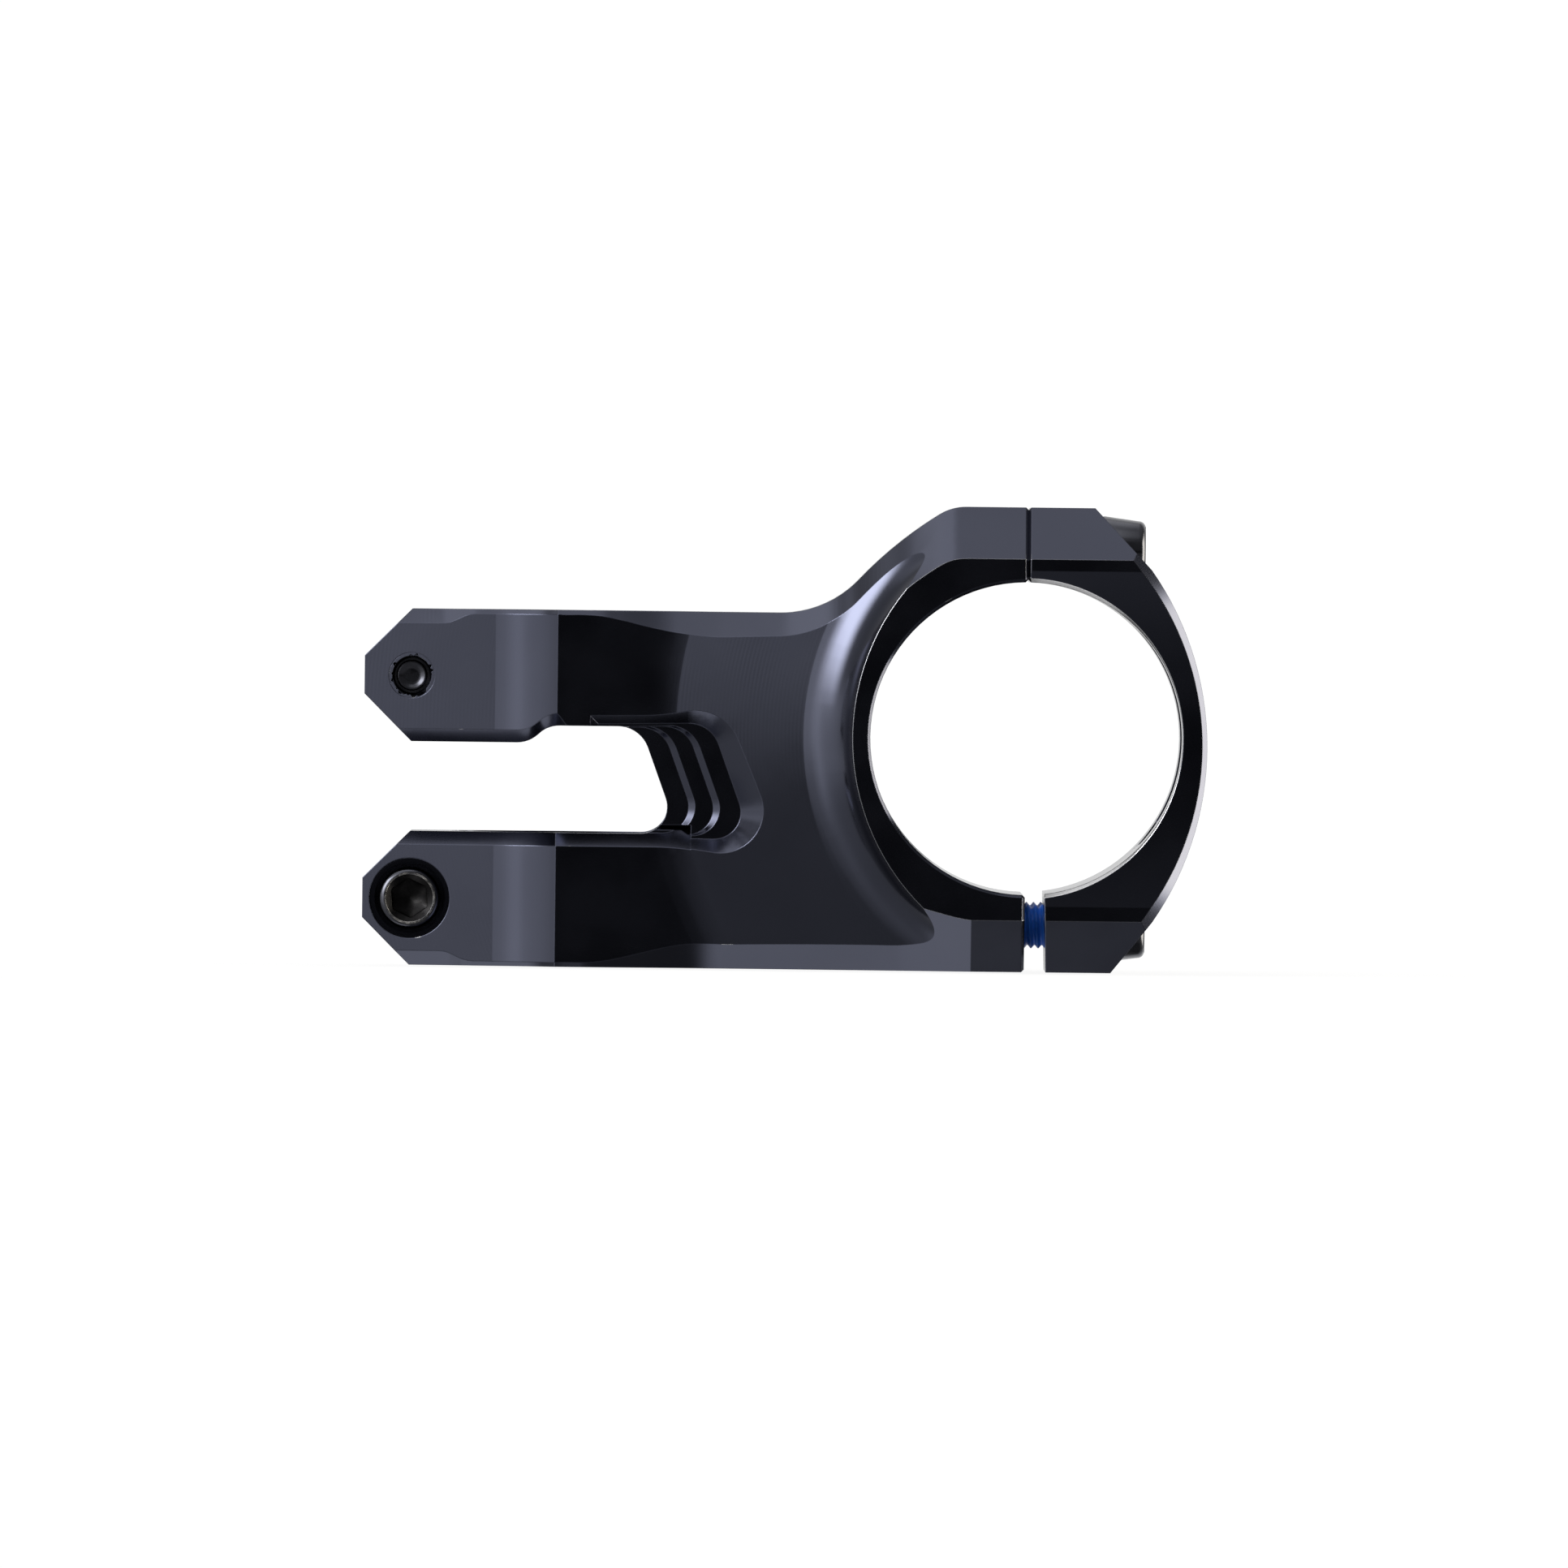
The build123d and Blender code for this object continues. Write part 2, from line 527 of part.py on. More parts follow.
with BuildPart() as faceplate:
    with BuildSketch(Plane.XZ):
        with BuildLine():
            Polyline((REACH, CLAMP_TOP), (PLATE_TOP_END, CLAMP_TOP), PLATE_UPPER_CORNER)
            ThreePointArc(PLATE_UPPER_CORNER, (PLATE_FRONT, PLATE_FRONT_HEIGHT), PLATE_LOWER_CORNER)
            Polyline(
                PLATE_LOWER_CORNER,
                (PLATE_BOTTOM_END, BOTTOM),
                (REACH + PLATE_LOWER_GAP + PLATE_LOWER_LEAN / 2, BOTTOM),
                (REACH + PLATE_LOWER_GAP - PLATE_LOWER_LEAN / 2, RISE - BAR_RADIUS + 1),
                (REACH, RISE - BAR_RADIUS + 1),
                (REACH, CLAMP_TOP),
            )
        make_face()
    extrude(amount=CLAMP_HALF, both=True)
    add(plate_hollow_tool.part, mode=Mode.SUBTRACT)
    add(front_bevel_tool.part, mode=Mode.SUBTRACT)
    for bevel in PLATE_BEVELS:
        add(bevel, mode=Mode.SUBTRACT)
    add(bore_tool(BAR_PLANE, BAR_RADIUS, CLAMP_HALF, PLATE_EDGE_BREAK), mode=Mode.SUBTRACT)

    with BuildSketch(Plane.YZ.offset(REACH + 1)):
        with Locations((0, RISE)):
            RectangleRounded(PLATE_WINDOW_WIDTH, PLATE_WINDOW_HEIGHT, PLATE_WINDOW_RADIUS)
    extrude(amount=CLEAR, mode=Mode.SUBTRACT)

    for (flat_x, flat_z), (arc_x, arc_z) in (
        ((PLATE_TOP_END, CLAMP_TOP), PLATE_UPPER_CORNER),
        ((PLATE_BOTTOM_END, BOTTOM), PLATE_LOWER_CORNER),
    ):
        past_x = flat_x - (arc_x - flat_x) / 2
        past_z = flat_z - (arc_z - flat_z) / 2
        with BuildSketch(Plane.XZ):
            with BuildLine():
                Polyline(
                    (past_x - PLATE_RELIEF_DEPTH, past_z),
                    (arc_x - PLATE_RELIEF_DEPTH, arc_z),
                    (arc_x + CLEAR, arc_z),
                    (arc_x + CLEAR, past_z),
                    close=True,
                )
            make_face()
        extrude(amount=PLATE_RELIEF_WIDTH / 2, both=True, mode=Mode.SUBTRACT)

    contact = faceplate.faces().filter_by(Axis.X).group_by(Axis.X)[0]
    chamfer(contact.edges(), SEAM_BREAK)

    for seat in PLATE_SEATS.values():
        add(round_hole(seat, CLEARANCE_RADIUS, CLEAR), mode=Mode.SUBTRACT)
        add(round_hole(seat.offset(CLEAR), COUNTERBORE_RADIUS, CLEAR), mode=Mode.SUBTRACT)

faceplate.part.label = "faceplate"
export_step(faceplate.part, "parts/faceplate.step")


# --- bolts and the thread-locking patches on them -------------------------------------------------
def profile_of(seat):
    """Plane through a bolt's axis: local x is the radius, local y the height above the bearing face."""
    return Plane(origin=seat.origin, x_dir=seat.x_dir, z_dir=-seat.y_dir)


def make_bolt(seat, length):
    """Socket-head bolt with a tapered head, and a groove in its shank for the thread-locking patch."""
    groove_low = PATCH_START - length
    groove_high = groove_low + PATCH_LENGTH
    groove_radius = BOLT_RADIUS - PATCH_THICKNESS
    with BuildPart() as bolt:
        with BuildSketch(profile_of(seat)):
            with BuildLine():
                Polyline(
                    (0, -length),
                    (BOLT_RADIUS - TIP_CHAMFER, -length),
                    (BOLT_RADIUS, TIP_CHAMFER - length),
                    (BOLT_RADIUS, groove_low),
                    (groove_radius, groove_low),
                    (groove_radius, groove_high),
                    (BOLT_RADIUS, groove_high),
                    (BOLT_RADIUS, 0),
                    (HEAD_RADIUS, 0),
                    (HEAD_TIP_RADIUS, HEAD_HEIGHT),
                    (0, HEAD_HEIGHT),
                    close=True,
                )
            make_face()
        revolve(axis=Axis(seat.origin, seat.z_dir))
        end_face = bolt.faces().sort_by(Axis(seat.origin, seat.z_dir))[-1]
        fillet(end_face.edges(), HEAD_ROUND)
        with BuildSketch(seat.offset(HEAD_HEIGHT)):
            RegularPolygon(SOCKET_ACROSS_FLATS / 2, 6, major_radius=False)
        extrude(amount=-SOCKET_DEPTH, mode=Mode.SUBTRACT)
    return bolt.part


def make_patch(seat, length):
    """Sleeve of cured thread-locking compound in the bolt's groove."""
    with BuildPart() as patch:
        with BuildSketch(seat.offset(PATCH_START - length)):
            Circle(BOLT_RADIUS)
            Circle(BOLT_RADIUS - PATCH_THICKNESS, mode=Mode.SUBTRACT)
        extrude(amount=PATCH_LENGTH)
    return patch.part


def export_bolt(place, seat, length):
    """Writes one bolt and its patch as two nodes."""
    bolt = make_bolt(seat, length)
    bolt.label = f"{place}_bolt"
    export_step(bolt, f"parts/{bolt.label}.step")
    patch = make_patch(seat, length)
    patch.label = f"{place}_threadlock"
    export_step(patch, f"parts/{patch.label}.step")


for place, seat in PLATE_SEATS.items():
    export_bolt(f"faceplate_{place}", seat, PLATE_BOLT_LENGTH)
for place, seat in PINCH_SEATS.items():
    export_bolt(f"pinch_{place}", seat, PINCH_BOLT_LENGTH)
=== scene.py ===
import bmesh
import bpy
import json
from math import cos, pi, radians, sin, sqrt, tan
from mathutils import Matrix, Vector, noise


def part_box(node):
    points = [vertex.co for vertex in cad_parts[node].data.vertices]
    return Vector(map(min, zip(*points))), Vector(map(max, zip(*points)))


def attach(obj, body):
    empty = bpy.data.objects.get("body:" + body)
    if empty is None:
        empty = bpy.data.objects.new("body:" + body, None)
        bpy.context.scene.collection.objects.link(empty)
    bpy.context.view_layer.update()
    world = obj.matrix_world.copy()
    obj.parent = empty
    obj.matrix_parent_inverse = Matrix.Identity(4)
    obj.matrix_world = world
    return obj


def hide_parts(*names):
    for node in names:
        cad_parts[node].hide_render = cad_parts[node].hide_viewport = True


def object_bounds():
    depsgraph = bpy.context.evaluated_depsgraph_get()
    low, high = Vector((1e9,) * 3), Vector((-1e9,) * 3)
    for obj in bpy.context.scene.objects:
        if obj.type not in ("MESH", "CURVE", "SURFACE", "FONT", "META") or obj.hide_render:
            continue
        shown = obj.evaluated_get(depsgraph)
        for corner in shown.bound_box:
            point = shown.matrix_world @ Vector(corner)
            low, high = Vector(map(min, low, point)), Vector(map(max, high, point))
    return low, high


# Handlebar stem: the CAD body and faceplate with anodised finishes, and modelled threads, bolt heads,
# hex sockets, thread-locking patches and tapped holes. Metres, in the CAD model's frame.

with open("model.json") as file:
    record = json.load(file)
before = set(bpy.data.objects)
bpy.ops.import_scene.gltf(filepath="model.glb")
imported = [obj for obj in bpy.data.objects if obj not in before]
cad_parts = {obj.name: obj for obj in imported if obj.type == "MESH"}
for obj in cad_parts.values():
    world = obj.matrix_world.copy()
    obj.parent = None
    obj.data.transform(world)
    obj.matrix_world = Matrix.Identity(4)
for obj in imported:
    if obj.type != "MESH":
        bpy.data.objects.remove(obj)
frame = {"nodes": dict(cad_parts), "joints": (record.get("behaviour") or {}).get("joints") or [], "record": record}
cad_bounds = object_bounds()
joints = {joint["name"]: joint for joint in frame["joints"]}
mounts = {mount["name"]: mount for mount in frame["record"]["mounts"]}
scene = bpy.context.scene
scene.view_settings.view_transform = "Standard"

MM = 0.001
BAR_CENTRE = Vector(mounts["bar_clamp"]["pos_m"])
BAR_RADIUS = mounts["bar_clamp"]["dims"]["r_mm"] * MM
FLARE_AXIS_X = BAR_CENTRE.x + 7 * MM  # the flare is turned about an axis just in front of the bar's

# M5 x 0.8 thread and the bolts' heads
PITCH = 0.8 * MM
CREST = 2.44 * MM
ROOT = 2.0 * MM
PATCH_CREST = 2.49 * MM
PATCH_ROOT = 2.13 * MM
PATCH_START = 2.6 * MM  # from the tip
PATCH_LENGTH = 10.0 * MM
HEAD_RADIUS = 4.0 * MM
HEAD_TIP_RADIUS = 3.35 * MM
HEAD_HEIGHT = 4.9 * MM
SOCKET_FLAT = 2.0 * MM
SOCKET_MOUTH = 2.68 * MM
SOCKET_DEPTH = 2.8 * MM
BORE = 2.55 * MM
THREAD_START = 0.25 * MM  # from the tip
THREAD_END = -0.9 * MM  # below the head
TURN_STEPS = 48

# flat side of the ears: it closes in towards the back, from this half width where it ends
EAR_SLOPE = radians(9.5)
EAR_FLAT_END_X = -9.6 * MM
EAR_FLAT_HALF = 13.976 * MM

PLATE_BOLTS = ("upper_left", "upper_right", "lower_left", "lower_right")
PINCH_BOLTS = ("upper", "lower")
BOLTS = [f"faceplate_{place}" for place in PLATE_BOLTS] + [f"pinch_{place}" for place in PINCH_BOLTS]


# --- node helpers ---------------------------------------------------------------------------------
class Tree:
    """Short forms for the nodes that the materials share."""

    def __init__(self, material):
        material.use_nodes = True
        self.nodes = material.node_tree.nodes
        self.links = material.node_tree.links

    def add(self, kind, **inputs):
        node = self.nodes.new(kind)
        for name, value in inputs.items():
            self.set(node, name, value)
        return node

    def set(self, node, name, value):
        socket = node.inputs[int(name[1:])] if name[0] == "_" else node.inputs[name]
        if isinstance(value, bpy.types.NodeSocket):
            self.links.new(value, socket)
        else:
            socket.default_value = value

    def math(self, operation, first, second=0.0, third=0.0, clamp=False):
        node = self.add("ShaderNodeMath", _0=first, _1=second, _2=third)
        node.operation = operation
        node.use_clamp = clamp
        return node.outputs[0]

    def ramp(self, value, low, high, start=0.0, end=1.0):
        """A smooth S from start to end as value goes from low to high."""
        node = self.add("ShaderNodeMapRange")
        node.interpolation_type = "SMOOTHSTEP"
        for name, setting in (
            ("Value", value),
            ("From Min", low),
            ("From Max", high),
            ("To Min", start),
            ("To Max", end),
        ):
            self.set(node, name, setting)
        return node.outputs[0]

    def band(self, value, low, full_from, full_to, high):
        """1 between full_from and full_to, falling smoothly to 0 at low and high."""
        rise = self.ramp(value, low, full_from)
        return self.math("MULTIPLY", rise, self.ramp(value, full_to, high, 1.0, 0.0))

    def noise(self, vector, scale, detail=2.0, roughness=0.5):
        settings = {"Scale": scale, "Detail": detail, "Roughness": roughness}
        return self.add("ShaderNodeTexNoise", Vector=vector, **settings).outputs["Fac"]

    def mix(self, share, first, second):
        node = self.nodes.new("ShaderNodeMix")
        node.data_type = "RGBA"
        self.set(node, "_0", share)
        self.set(node, "_6", first)
        self.set(node, "_7", second)
        return node.outputs[2]

    def split(self, vector):
        return self.add("ShaderNodeSeparateXYZ", Vector=vector).outputs

    def scaled(self, vector, x, y, z):
        node = self.add("ShaderNodeVectorMath", _0=vector, _1=(x, y, z))
        node.operation = "MULTIPLY"
        return node.outputs[0]


def new_material(name):
    """A material with an empty Principled shader; returns (material, tree, shader)."""
    material = bpy.data.materials.new(name)
    tree = Tree(material)
    shader = tree.nodes["Principled BSDF"]
    return material, tree, shader


def edge_mask(tree, radius):
    """1 on edges of about this radius, 0 on flats, from how far a rounded normal turns."""
    rounded = tree.add("ShaderNodeBevel", Radius=radius)
    rounded.samples = 6
    geometry = tree.add("ShaderNodeNewGeometry")
    dot = tree.add("ShaderNodeVectorMath", _0=rounded.outputs[0], _1=geometry.outputs["Normal"])
    dot.operation = "DOT_PRODUCT"
    return tree.ramp(dot.outputs["Value"], 0.995, 0.90), rounded.outputs[0]


def wave(tree, distance, pitch):
    """Rounded ridges of this pitch along a distance, from 0 to 1."""
    angle = tree.math("MULTIPLY", distance, 2 * pi / pitch)
    return tree.math("MULTIPLY_ADD", tree.math("SINE", angle), 0.5, 0.5)


# --- materials ------------------------------------------------------------------------------------
def anodised(name, marks=1.0, wear=1.0, bore_chamfer_glint=0.0, burnish_and_glint=0.0, edge_radius=0.14 * MM):
    """Black anodised aluminium with the marks of its milling, a little bare metal at its corners, and painted
    highlight lines of bare metal.

    Two of the arguments set painted highlight lines of bare metal: one on the bar bore's chamfer, the other on the
    clamp's outer edges, where the anodising is partly rubbed off too.
    """
    material, tree, shader = new_material(name)
    place = tree.add("ShaderNodeTexCoord").outputs["Object"]
    x, y, z = tree.split(place)
    normal = tree.split(tree.add("ShaderNodeNewGeometry").outputs["Normal"])
    facing_side = tree.ramp(tree.math("ABSOLUTE", normal[1]), 0.80, 0.90)
    facing_up = tree.ramp(tree.math("ABSOLUTE", normal[2]), 0.80, 0.90)
    slanted = tree.math("SUBTRACT", 1.0, tree.math("MAXIMUM", facing_side, facing_up))

    # tool paths: rings about the flare's axis, passes along the bevels, arcs of a face mill on the flats
    from_axis_x = tree.math("SUBTRACT", x, FLARE_AXIS_X)
    from_axis_z = tree.math("SUBTRACT", z, BAR_CENTRE.z)
    ring_square = tree.math("MULTIPLY_ADD", from_axis_z, from_axis_z, tree.math("POWER", from_axis_x, 2.0))
    ring = tree.math("SQRT", ring_square)
    on_flare = tree.ramp(ring, 26.6 * MM, 27.4 * MM)
    rings = tree.math("MULTIPLY", wave(tree, ring, 0.42 * MM), on_flare)
    passes = wave(tree, tree.math("ADD", y, z), 0.33 * MM)
    mill_square = tree.math(
        "ADD",
        tree.math("POWER", tree.math("ADD", x, 6 * MM), 2.0),
        tree.math("POWER", tree.math("ADD", y, 31 * MM), 2.0),
    )
    mill = wave(tree, tree.math("SQRT", mill_square), 0.55 * MM)
    across = wave(tree, tree.math("SUBTRACT", z, y), 0.5 * MM)
    scallops = tree.math("MULTIPLY", wave(tree, x, 0.45 * MM), across)
    front_patch = tree.band(x, 26 * MM, 30 * MM, 33 * MM, 36 * MM)
    rear_patch = tree.band(x, -22 * MM, -20 * MM, -16 * MM, -13 * MM)
    scallops = tree.math("MULTIPLY", scallops, tree.math("ADD", front_patch, rear_patch))
    scallops = tree.math("MULTIPLY", scallops, tree.ramp(normal[2], 0.3, 0.5))
    patchy = tree.ramp(tree.noise(place, 90.0, 1.0), 0.35, 0.7, 0.25, 1.0)
    marked = tree.math(
        "ADD",
        tree.math("MULTIPLY", rings, facing_side),
        tree.math("ADD", tree.math("MULTIPLY", passes, slanted), tree.math("MULTIPLY", mill, facing_up)),
    )
    grain = tree.noise(place, 14000.0, 2.0, 0.6)
    streak = tree.noise(tree.scaled(place, 300.0, 9000.0, 9000.0), 1.0, 2.0)
    height = tree.math(
        "ADD",
        tree.math("MULTIPLY", marked, tree.math("MULTIPLY", patchy, 0.5 * marks)),
        tree.math("MULTIPLY_ADD", grain, 0.35, tree.math("MULTIPLY", streak, 0.3)),
    )
    height = tree.math("MULTIPLY_ADD", tree.math("MULTIPLY", scallops, slanted), 2.5, height)

    edge, rounded = edge_mask(tree, edge_radius)
    bump = tree.add("ShaderNodeBump", Strength=1.0, Distance=0.7e-6, Height=height, Normal=rounded)
    tree.set(shader, "Normal", bump.outputs[0])

    # colour: faintly blue black, uneven dye, a few corners worn to bare metal, and bare metal painted as highlight
    # lines on the clamp's edges and the bore's chamfer
    dye = tree.noise(place, 55.0, 3.0)
    black = tree.mix(dye, (0.066, 0.070, 0.097, 1.0), (0.080, 0.085, 0.113, 1.0))
    chips = tree.ramp(tree.noise(place, 330.0, 2.0), 0.71 - 0.03 * wear, 0.74 - 0.03 * wear)
    bore_x = tree.math("POWER", tree.math("SUBTRACT", x, BAR_CENTRE.x), 2.0)
    from_bar = tree.math("SQRT", tree.math("MULTIPLY_ADD", from_axis_z, from_axis_z, bore_x))
    # painted highlight line: bare metal along the clamp's outer edges, partly rubbed anodising too
    clamp_side = tree.ramp(tree.math("ABSOLUTE", y), 24.2 * MM, 24.7 * MM)
    outside_bore = tree.ramp(from_bar, BAR_RADIUS + 0.8 * MM, BAR_RADIUS + 1.2 * MM)
    clamp_edge = tree.math("MULTIPLY", clamp_side, outside_bore)
    chips = tree.math("MULTIPLY", chips, tree.math("SUBTRACT", 1.0, clamp_edge))
    wear_and_highlight = tree.math("MULTIPLY_ADD", clamp_edge, burnish_and_glint, chips)
    bare = tree.math("MULTIPLY", edge, wear_and_highlight)
    # painted highlight line: bare metal on the bar bore's chamfer
    cut = tree.math("LESS_THAN", from_bar, BAR_RADIUS + 0.6 * MM)
    cut = tree.math("MULTIPLY", cut, tree.math("GREATER_THAN", from_bar, BAR_RADIUS + 0.02 * MM))
    slanting = tree.math("LESS_THAN", tree.math("ABSOLUTE", normal[1]), 0.93)
    cut = tree.math("MULTIPLY", tree.math("MULTIPLY", cut, slanting), bore_chamfer_glint)
    bare = tree.math("MAXIMUM", bare, cut)
    tree.set(shader, "Base Color", tree.mix(bare, black, (0.78, 0.78, 0.79, 1.0)))
    tree.set(shader, "Metallic", 1.0)
    tree.set(shader, "Roughness", tree.ramp(tree.noise(place, 120.0, 3.0), 0.3, 0.7, 0.125, 0.16))
    return material


def coated_steel(name):
    """Dark coated steel with turning marks, scuffed bright on its edges."""
    material, tree, shader = new_material(name)
    place = tree.add("ShaderNodeTexCoord").outputs["Object"]
    edge, rounded = edge_mask(tree, 0.10 * MM)
    scuffs = tree.ramp(tree.noise(place, 1100.0, 3.0), 0.50, 0.70)
    bare = tree.math("MULTIPLY", edge, tree.math("MULTIPLY", scuffs, 0.75))
    tone = tree.mix(tree.noise(place, 400.0, 2.0), (0.060, 0.062, 0.074, 1.0), (0.088, 0.090, 0.105, 1.0))
    tree.set(shader, "Base Color", tree.mix(bare, tone, (0.55, 0.54, 0.53, 1.0)))
    tree.set(shader, "Metallic", 1.0)
    tree.set(shader, "Roughness", tree.ramp(tree.noise(place, 900.0, 2.0), 0.3, 0.7, 0.16, 0.24))
    scratches = tree.noise(place, 7000.0, 3.0)
    bump = tree.add("ShaderNodeBump", Strength=1.0, Distance=0.7e-6, Height=scratches, Normal=rounded)
    tree.set(shader, "Normal", bump.outputs[0])
    return material


def steel_rubbed_and_highlight(name):
    """Bare steel where the coating is rubbed off, brighter in places; on the sockets' mouths it is partly a
    painted highlight ring.
    """
    material, tree, shader = new_material(name)
    place = tree.add("ShaderNodeTexCoord").outputs["Object"]
    wear_and_highlight = tree.ramp(tree.noise(place, 500.0, 2.0), 0.40, 0.60)
    tree.set(shader, "Base Color", tree.mix(wear_and_highlight, (0.20, 0.20, 0.21, 1.0), (0.62, 0.60, 0.58, 1.0)))
    tree.set(shader, "Metallic", 1.0)
    tree.set(shader, "Roughness", tree.ramp(tree.noise(place, 2500.0, 2.0), 0.3, 0.7, 0.18, 0.35))
    return material


def painted_socket_shade(name):
    """Painted shade for the inside of a socket: matt and almost black, in place of its shadow."""
    material, tree, shader = new_material(name)
    place = tree.add("ShaderNodeTexCoord").outputs["Object"]
    tone = tree.mix(tree.noise(place, 1500.0, 2.0), (0.010, 0.010, 0.011, 1.0), (0.026, 0.025, 0.025, 1.0))
    tree.set(shader, "Base Color", tone)
    tree.set(shader, "Metallic", 1.0)
    tree.set(shader, "Roughness", tree.ramp(tree.noise(place, 1200.0, 2.0), 0.3, 0.7, 0.25, 0.42))
    return material


def cured_compound(name):
    """Blue thread-locking compound: a thin, slightly lumpy plastic film, paler where it is rubbed."""
    material, tree, shader = new_material(name)
    place = tree.add("ShaderNodeTexCoord").outputs["Object"]
    mottled = tree.noise(place, 900.0, 3.0)
    deep = tree.mix(mottled, (0.010, 0.075, 0.42, 1.0), (0.025, 0.190, 0.85, 1.0))
    edge, rounded = edge_mask(tree, 0.08 * MM)
    rubbed = tree.math("MULTIPLY", edge, 0.5)
    tree.set(shader, "Base Color", tree.mix(rubbed, deep, (0.05, 0.22, 0.62, 1.0)))
    tree.set(shader, "Roughness", tree.ramp(tree.noise(place, 1800.0, 2.0), 0.3, 0.7, 0.28, 0.5))
    lumps = tree.noise(place, 3000.0, 2.0)
    bump = tree.add("ShaderNodeBump", Strength=1.0, Distance=6e-6, Height=lumps, Normal=rounded)
    tree.set(shader, "Normal", bump.outputs[0])
    return material


def bare_thread(name):
    """Freshly cut aluminium thread, anodised dark, its crests rubbed bright."""
    material, tree, shader = new_material(name)
    place = tree.add("ShaderNodeTexCoord").outputs["Object"]
    edge, rounded = edge_mask(tree, 0.07 * MM)
    torn = tree.ramp(tree.noise(place, 1300.0, 2.0), 0.50, 0.62)
    tone = tree.mix(tree.noise(place, 500.0, 2.0), (0.020, 0.021, 0.028, 1.0), (0.045, 0.047, 0.060, 1.0))
    bare = tree.math("MULTIPLY", edge, torn)
    tree.set(shader, "Base Color", tree.mix(bare, tone, (0.60, 0.61, 0.66, 1.0)))
    tree.set(shader, "Metallic", 1.0)
    tree.set(shader, "Roughness", tree.ramp(tree.noise(place, 2000.0, 2.0), 0.3, 0.7, 0.18, 0.32))
    tree.set(shader, "Normal", rounded)
    return material


# the clamp's outer edges and, on the plate, the bore's chamfer get painted highlight lines of bare metal
BODY = anodised("anodised_body_black", burnish_and_glint=0.40)
PLATE = anodised("anodised_plate_black", marks=0.7, bore_chamfer_glint=0.9, burnish_and_glint=0.25)
BURR = anodised("anodised_torn_edge", wear=5.0, edge_radius=0.03 * MM)
STEEL = coated_steel("bolt_coated_steel")
# bright steel for the sockets' mouths: rubbed coating and a painted highlight ring
RUBBED_AND_HIGHLIGHT = steel_rubbed_and_highlight("bolt_steel_rubbed_and_highlight")
# painted shade for the insides of the hex sockets
SOCKET_SHADE = painted_socket_shade("bolt_painted_socket_shade")
COMPOUND = cured_compound("threadlock_blue")
TAPPED = bare_thread("tapped_thread")


# --- mesh helpers ---------------------------------------------------------------------------------
def finish_mesh(name, mesh_data, material, body, matrix, sharp=35.0):
    """Puts a bmesh in the scene as a piece that rides on a body."""
    mesh = bpy.data.meshes.new(name)
    bmesh.ops.recalc_face_normals(mesh_data, faces=mesh_data.faces)
    mesh_data.to_mesh(mesh)
    mesh_data.free()
    mesh.transform(matrix)
    mesh.materials.append(material)
    mesh.polygons.foreach_set("use_smooth", [True] * len(mesh.polygons))
    mesh.set_sharp_from_angle(angle=radians(sharp))
    piece = bpy.data.objects.new(name, mesh)
    scene.collection.objects.link(piece)
    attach(piece, body)
    return piece


def skin(mesh_data, rings, close_first=True, close_last=True):
    """Faces between rings that have the same number of points, with the ends filled."""
    rows = [[mesh_data.verts.new(point) for point in ring] for ring in rings]
    for lower, upper in zip(rows, rows[1:]):
        for step in range(len(lower)):
            after = (step + 1) % len(lower)
            mesh_data.faces.new((lower[step], lower[after], upper[after], upper[step]))
    if close_first:
        mesh_data.faces.new(rows[0][::-1])
    if close_last:
        mesh_data.faces.new(rows[-1])
    return rows


def circle(radius, height, steps=TURN_STEPS):
    return [
        (radius * cos(2 * pi * step / steps), radius * sin(2 * pi * step / steps), height)
        for step in range(steps)
    ]


# one pitch of a thread: (share of the pitch, share of the depth from root to crest)
THREAD_FORM = (
    (0.0, 0.0),
    (0.09, 0.05),
    (0.42, 0.95),
    (0.47, 1.0),
    (0.53, 1.0),
    (0.58, 0.95),
    (0.91, 0.05),
)


def thread_surface(mesh_data, low, high, radius_at, steps=TURN_STEPS):
    """A helical surface between two heights.

    radius_at(depth_share, height, angle) gives its radius. Its rows follow the helix, so that the crests
    stay sharp. The two ends are left open and flat.
    """
    form = len(THREAD_FORM)
    first = int(low / PITCH) - 3
    last = int(high / PITCH) + 3
    rows = []
    for turn in range(first, last):
        for share, depth in THREAD_FORM:
            row = []
            for step in range(steps):
                angle = 2 * pi * step / steps
                height = (turn + share + step / steps) * PITCH
                radius = radius_at(depth, height, angle)
                row.append(mesh_data.verts.new((radius * cos(angle), radius * sin(angle), height)))
            rows.append(row)
    for index in range(len(rows) - form):
        lower, upper = rows[index], rows[index + 1]
        for step in range(steps - 1):
            mesh_data.faces.new((lower[step], lower[step + 1], upper[step + 1], upper[step]))
        if index + form + 1 < len(rows):  # the last face of a turn meets the first of the next one
            next_lower, next_upper = rows[index + form], rows[index + form + 1]
            mesh_data.faces.new((lower[-1], next_lower[0], next_upper[0], upper[-1]))
    for height, keep in ((low, 1), (high, -1)):
        bmesh.ops.bisect_plane(
            mesh_data,
            geom=mesh_data.verts[:] + mesh_data.edges[:] + mesh_data.faces[:],
            dist=1e-8,
            plane_co=(0, 0, height),
            plane_no=(0, 0, -keep),
            clear_outer=True,
        )


def rim_edges(mesh_data, height):
    return [
        edge
        for edge in mesh_data.edges
        if edge.is_boundary and all(abs(vert.co.z - height) < 1e-6 for vert in edge.verts)
    ]


def seat_matrix(box, axis):
    """Places a piece modelled along +Z, with the head's bearing face at z = 0, on a bolt's node."""
    low, high = box
    centre = (low + high) / 2
    outward = Vector(axis).normalized()
    reach = abs(outward.dot(high - low)) / 2
    seat = centre + outward * (reach - HEAD_HEIGHT)
    return Matrix.Translation(seat) @ outward.to_track_quat("Z", "Y").to_matrix().to_4x4()


